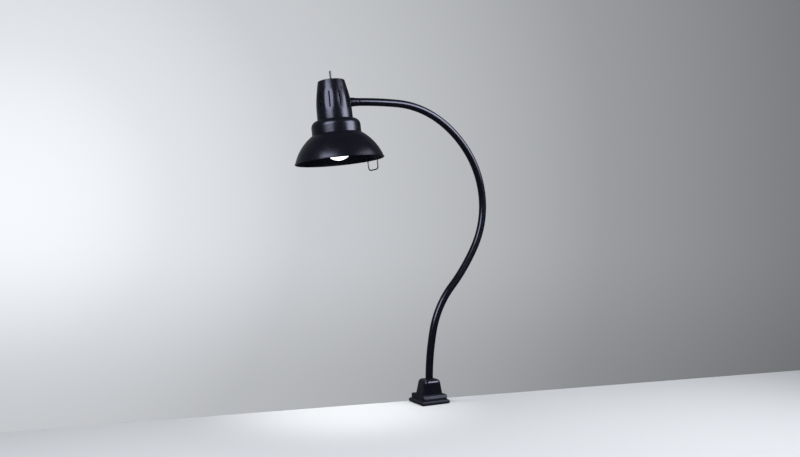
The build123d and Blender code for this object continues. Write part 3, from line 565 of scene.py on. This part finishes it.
def wall_depths():
    """Depths of the rows down the wall: even ones, and closer ones round the slots' ends."""
    depths = [FIRST_ROW + ROW_STEP * step for step in range(ROW_COUNT)] + [HOUSING_PROFILE[2][1]]
    for step in range(SLOT_END_STEPS + 1):
        inset = SLOT_HALF - SLOT_HALF * math.cos(0.5 * math.pi * step / SLOT_END_STEPS)
        depths += [SLOT_TOP + inset, SLOT_BOTTOM - inset]
    depths.sort()
    kept = depths[:1]
    for depth in depths[1:]:
        if depth - kept[-1] > LEAST_ROW_GAP:
            kept.append(depth)
    return kept


def housing_rows():
    """Rows of (outer radius, inner radius, outer depth, inner depth), from the top's hole downwards."""
    rows = [(radius, radius, 0.0, HOUSING_WALL) for radius in TOP_RINGS]
    side = wall_radius(HOUSING_EDGE) - HOUSING_EDGE
    inner_edge = HOUSING_EDGE - HOUSING_WALL
    for step in range(EDGE_STEPS + 1):
        angle = 0.5 * math.pi * step / EDGE_STEPS
        rows.append((
            side + HOUSING_EDGE * math.sin(angle),
            side + inner_edge * math.sin(angle),
            HOUSING_EDGE - HOUSING_EDGE * math.cos(angle),
            HOUSING_EDGE - inner_edge * math.cos(angle),
        ))
    for depth in wall_depths():
        rows.append((wall_radius(depth), wall_radius(depth) - HOUSING_WALL, depth, depth))
    return rows


def slot_half(depth):
    """Half of the slot's width at a depth, with round ends."""
    near = min(depth - SLOT_TOP, SLOT_BOTTOM - depth)
    if near >= SLOT_HALF:
        return SLOT_HALF
    if near <= 0.0:
        return SLOT_TIP
    return max(SLOT_TIP, math.sqrt(SLOT_HALF**2 - (SLOT_HALF - near) ** 2))


def column_offsets(radius, depth):
    """Angles from a slot's middle of the columns in its sector, with the slot's own two sides."""
    slot_side = min(slot_half(depth) / max(radius, 2 * SLOT_HALF), SLOT_SHARE_MOST * HALF_SECTOR)
    beside = [share * HALF_SECTOR for share in COLUMN_SHARES]
    before = [-offset for offset in reversed(beside)]
    return [-HALF_SECTOR] + before + [-slot_side, slot_side] + beside


def housing_grids(mesh, rows):
    """The points of the wall's outside and inside, row by row."""
    outer, inner = [], []
    for out_radius, in_radius, out_depth, in_depth in rows:
        outer_row, inner_row = [], []
        for slot in range(SLOT_COUNT):
            for offset in column_offsets(out_radius, out_depth):
                proud = fluting(offset, out_depth)
                azimuth = (2 * slot + 1) * HALF_SECTOR + offset
                outer_row.append(mesh.verts.new(head_point(out_radius + proud, azimuth, out_depth)))
                inner_row.append(mesh.verts.new(head_point(in_radius + proud, azimuth, in_depth)))
        outer.append(outer_row)
        inner.append(inner_row)
    return outer, inner


def housing_cells(rows, outer):
    """The grid's cells, as (row, column), that are wall: no slot, and no hole for the swivel."""
    columns = len(outer[0])
    cells = []
    for row in range(len(rows) - 1):
        middle = (rows[row][2] + rows[row + 1][2]) / 2
        for column in range(columns):
            if column % COLUMNS_A_SECTOR == SLOT_COLUMN and SLOT_TOP < middle < SLOT_BOTTOM:
                continue
            corner = outer[row + 1][(column + 1) % columns]
            centre = (outer[row][column].co + corner.co) / 2 - swivel_place
            out = centre.dot(head_x)
            if out > -SWIVEL_SIDE * MM and (centre - head_x * out).length < SWIVEL_HOLE * MM:
                continue
            cells.append((row, column))
    return cells


def swivel_seat(mesh):
    """The turned ring that the swivel's washer bears on."""
    rings = []
    for step in range(SEAT_SIDES):
        angle = 2 * math.pi * step / SEAT_SIDES
        way = head_z * math.cos(angle) + head_y * math.sin(angle)
        rings.append([
            mesh.verts.new(swivel_place + way * (radius * MM) + head_x * ((out - SWIVEL_OUT) * MM))
            for radius, out in SEAT_PROFILE
        ])
    for ring, after in zip(rings, rings[1:] + rings[:1]):
        skin(mesh, ring, after)


def housing_mesh():
    """The housing's wall, closed at its edges and slots, with the swivel's seat."""
    mesh = bmesh.new()
    rows = housing_rows()
    outer, inner = housing_grids(mesh, rows)
    columns = len(outer[0])
    cells = housing_cells(rows, outer)
    wall = set(cells)
    for row, column in cells:
        after = (column + 1) % columns
        corners = [(row, column), (row, after), (row + 1, after), (row + 1, column)]
        mesh.faces.new([outer[level][place] for level, place in corners])
        mesh.faces.new([inner[level][place] for level, place in reversed(corners)])
        beside = [(row - 1, column), (row, after), (row + 1, column), (row, (column - 1) % columns)]
        for first, second, neighbour in zip(corners, corners[1:] + corners[:1], beside):
            if neighbour not in wall:
                mesh.faces.new((
                    outer[second[0]][second[1]],
                    outer[first[0]][first[1]],
                    inner[first[0]][first[1]],
                    inner[second[0]][second[1]],
                ))
    swivel_seat(mesh)
    loose = [vert for vert in mesh.verts if not vert.link_faces]
    bmesh.ops.delete(mesh, geom=loose, context="VERTS")
    return finished(mesh, "vented_housing", sharp_angle=40.0)


housing = new_piece("vented_housing", housing_mesh(), "black_enamel", "head")
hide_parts("socket_housing")

# Painted shade: a dark sheet inside the housing, behind the slots, so that the slots look dark.
SHADE_SHEET_RADIUS = 26.0
SHADE_SHEET_WALL = 0.5
SHADE_SHEET_AZIMUTHS = (math.radians(60.0), math.radians(300.0))
SHADE_SHEET_STEPS = 60
# Up the sheet's outside: how far out from its radius, and the depth, with a lip at each edge
SHADE_SHEET_PROFILE = [
    (0.0, 49.0), (0.35, 48.4), (0.0, 47.6), (0.0, 35.0), (0.0, 21.4), (0.35, 20.6), (0.0, 20.0)
]


def shade_sheet_mesh():
    """Painted shade: an open sleeve of dark sheet behind the slots, with a lip along each edge."""
    outside = [(SHADE_SHEET_RADIUS + out, depth) for out, depth in SHADE_SHEET_PROFILE]
    inside = [(radius - SHADE_SHEET_WALL, depth) for radius, depth in reversed(outside)]
    first, last = SHADE_SHEET_AZIMUTHS
    mesh = bmesh.new()
    rings = []
    for step in range(SHADE_SHEET_STEPS + 1):
        azimuth = first + (last - first) * step / SHADE_SHEET_STEPS
        rings.append([
            mesh.verts.new(head_point(radius, azimuth, depth)) for radius, depth in outside + inside
        ])
    for ring, after in zip(rings, rings[1:]):
        skin(mesh, ring, after)
    for ring in (rings[0], rings[-1]):
        for number in range(len(outside) - 1):
            mesh.faces.new((ring[number], ring[number + 1], ring[-2 - number], ring[-1 - number]))
    return finished(mesh, "slot_shade_sheet", sharp_angle=30.0)


# Painted shade: the dark sheet that makes the slots look dark.
new_piece("slot_shade_sheet", shade_sheet_mesh(), "fibre", "head")


# Stage: a pale table top that the clamp grips, and a plain backdrop

TABLE_THICKNESS = 35.0 * MM
TABLE_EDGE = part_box("jaw_pad")[1].y
TABLE_TURN = math.radians(-9.3)
TABLE_X = (-1.4, 2.2)
TABLE_FRONT = -1.3
TABLE_GAP = 0.2 * MM
TABLE_ROUND = 1.5 * MM
TABLE_COLOUR = (0.6, 0.611, 0.622)
TABLE_ROUGHNESS = 0.6


def table_material():
    """Pale laminate with a trace of clouding."""
    laminate = Material("stage_table")
    cloud = laminate.ramp(laminate.noise(scale=3.0, detail=3.0), low=0.0, high=1.0)
    laminate.feed("Base Color", laminate.tint(cloud, TABLE_COLOUR, toned(TABLE_COLOUR, 0.985)))
    laminate.set(Roughness=TABLE_ROUGHNESS)
    return laminate.data


def table():
    """The table top, with its rear edge along the clamp's pad."""
    mesh = bmesh.new()
    bmesh.ops.create_cube(mesh, size=1.0)
    for vert in mesh.verts:
        vert.co.x = TABLE_X[0] if vert.co.x < 0 else TABLE_X[1]
        vert.co.y = TABLE_FRONT if vert.co.y < 0 else 0.0
        vert.co.z = -TABLE_THICKNESS + TABLE_GAP if vert.co.z < 0 else -TABLE_GAP
    bmesh.ops.bevel(mesh, geom=mesh.edges[:], offset=TABLE_ROUND, segments=3, profile=0.5, affect="EDGES")
    data = finished(mesh, "stage_table", sharp_angle=35.0)
    data.materials.append(table_material())
    top = bpy.data.objects.new("stage_table", data)
    top.location = (0.0, TABLE_EDGE, 0.0)
    top.rotation_euler = (0.0, 0.0, TABLE_TURN)
    bpy.context.scene.collection.objects.link(top)
    # The lamp's black surfaces show no table in the photograph
    top.visible_glossy = False


table()

HEAD_AIM = Vector((-0.22, 0.0, 0.6))
LAMP_COLOUR = (0.97, 0.98, 1.0)
# Each softbox: its level direction from the head, rise in degrees, distance, width and height, and watts
SOFTBOXES = {
    "softbox_left": ((-0.846, -0.533), 21.0, 1.3, (0.77, 0.74), 11.5),
    "softbox_left_edge": ((-0.846, -0.533), 23.0, 1.33, (1.03, 0.975), 5.9),
    "softbox_right": ((0.71, -0.704), 18.0, 1.3, (0.84, 0.65), 14.0),
    "softbox_right_edge": ((0.785, -0.619), 22.0, 1.33, (1.06, 0.86), 5.3),
}
# The bulb's light on the table: how far below the head's top, and how far aside
POOL_BELOW = 0.215
POOL_SHIFT = Vector((0.035, 0.075, 0.0))
POOL_COLOUR = (1.0, 0.99, 0.97)
POOL_WATTS = 6.5
POOL_CONE = math.radians(74.0)
POOL_SOFTNESS = 0.03


def new_light(name, kind, place, colour, watts):
    """A lamp of a kind at a place."""
    data = bpy.data.lights.new(name, kind)
    data.energy = watts
    data.color = colour
    light = bpy.data.objects.new(name, data)
    bpy.context.scene.collection.objects.link(light)
    light.location = place
    return light


def softbox(name, way, rise, distance, size, watts):
    """A rectangular softbox that faces the head, in a level direction from it and raised in degrees."""
    level = Vector((*way, 0.0)).normalized()
    angle = math.radians(rise)
    away = (level * math.cos(angle) + Vector((0.0, 0.0, math.sin(angle)))) * distance
    light = new_light(name, "AREA", HEAD_AIM + away, LAMP_COLOUR, watts)
    light.data.shape = "RECTANGLE"
    light.data.size, light.data.size_y = size
    light.rotation_mode = "QUATERNION"
    light.rotation_quaternion = away.to_track_quat("Z", "Y")
    light.visible_camera = False


def pool_lamp():
    """The bulb's light on the table under the shade, which follows the head."""
    place = head_top - head_z * POOL_BELOW + POOL_SHIFT
    light = new_light("pool_lamp", "SPOT", place, POOL_COLOUR, POOL_WATTS)
    light.data.spot_size = POOL_CONE
    light.data.spot_blend = 1.0
    light.data.shadow_soft_size = POOL_SOFTNESS
    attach(light, "head")


for name, settings in SOFTBOXES.items():
    softbox(name, *settings)
pool_lamp()

FILL = 0.42
FILL_COLOUR = (0.9, 0.93, 1.0, 1.0)
BRIGHT_WAY = (0.0, 0.999, 0.045)
# How bright the backdrop is at each cosine of the angle from its brightest direction, the two ends first
BACKDROP_LEVELS = [(0.0, 0.05), (1.0, 0.95), (0.4, 0.11), (0.719, 0.337), (0.934, 0.617), (0.982, 0.79)]
BACKDROP_TINT = (0.97, 0.995, 1.04)
# The slope below level at which the backdrop is darkest, and its share of the brightness there
LOW_BACKDROP = (-0.21, 0.8)
# The backdrop's share in reflections, as its far parts are flagged off
MIRRORED = 0.3


def world():
    """Pale backdrop, brighter to the left as in the photograph, and a plain soft fill."""
    studio = bpy.data.worlds.new("studio")
    bpy.context.scene.world = studio
    studio.use_nodes = True
    tree = studio.node_tree
    tree.nodes.clear()
    link = tree.links.new
    coordinates = add_node(tree, "ShaderNodeTexCoord")
    path = add_node(tree, "ShaderNodeLightPath")

    dot = add_node(tree, "ShaderNodeVectorMath", operation="DOT_PRODUCT")
    dot.inputs[1].default_value = BRIGHT_WAY
    link(coordinates.outputs["Generated"], dot.inputs[0])
    ramp = add_node(tree, "ShaderNodeValToRGB")
    stops = ramp.color_ramp.elements
    for number, (place, level) in enumerate(BACKDROP_LEVELS):
        stop = stops[number] if number < 2 else stops.new(place)
        stop.position = place
        stop.color = (*(level * channel for channel in BACKDROP_TINT), 1.0)
    link(dot.outputs["Value"], ramp.inputs["Fac"])

    split = add_node(tree, "ShaderNodeSeparateXYZ")
    link(coordinates.outputs["Generated"], split.inputs["Vector"])
    drop = add_node(tree, "ShaderNodeMapRange", interpolation_type="SMOOTHSTEP")
    drop.inputs["From Min"].default_value, drop.inputs["To Min"].default_value = LOW_BACKDROP
    drop.inputs["From Max"].default_value = 0.0
    drop.inputs["To Max"].default_value = 1.0
    link(split.outputs["Z"], drop.inputs["Value"])
    dim = add_node(tree, "ShaderNodeMapRange")
    dim.inputs["To Min"].default_value = 1.0
    dim.inputs["To Max"].default_value = MIRRORED
    link(path.outputs["Is Glossy Ray"], dim.inputs["Value"])
    strength = add_node(tree, "ShaderNodeMath", operation="MULTIPLY")
    link(drop.outputs["Result"], strength.inputs[0])
    link(dim.outputs["Result"], strength.inputs[1])

    fill = add_node(tree, "ShaderNodeBackground", Color=FILL_COLOUR, Strength=FILL)
    backdrop = add_node(tree, "ShaderNodeBackground")
    link(ramp.outputs["Color"], backdrop.inputs["Color"])
    link(strength.outputs[0], backdrop.inputs["Strength"])

    seen = path.outputs["Is Camera Ray"]
    for kind in ("Is Glossy Ray", "Is Transmission Ray"):
        either = add_node(tree, "ShaderNodeMath", operation="MAXIMUM")
        link(seen, either.inputs[0])
        link(path.outputs[kind], either.inputs[1])
        seen = either.outputs[0]
    mix = add_node(tree, "ShaderNodeMixShader")
    link(seen, mix.inputs["Fac"])
    link(fill.outputs[0], mix.inputs[1])
    link(backdrop.outputs[0], mix.inputs[2])
    output = add_node(tree, "ShaderNodeOutputWorld")
    link(mix.outputs[0], output.inputs["Surface"])


world()
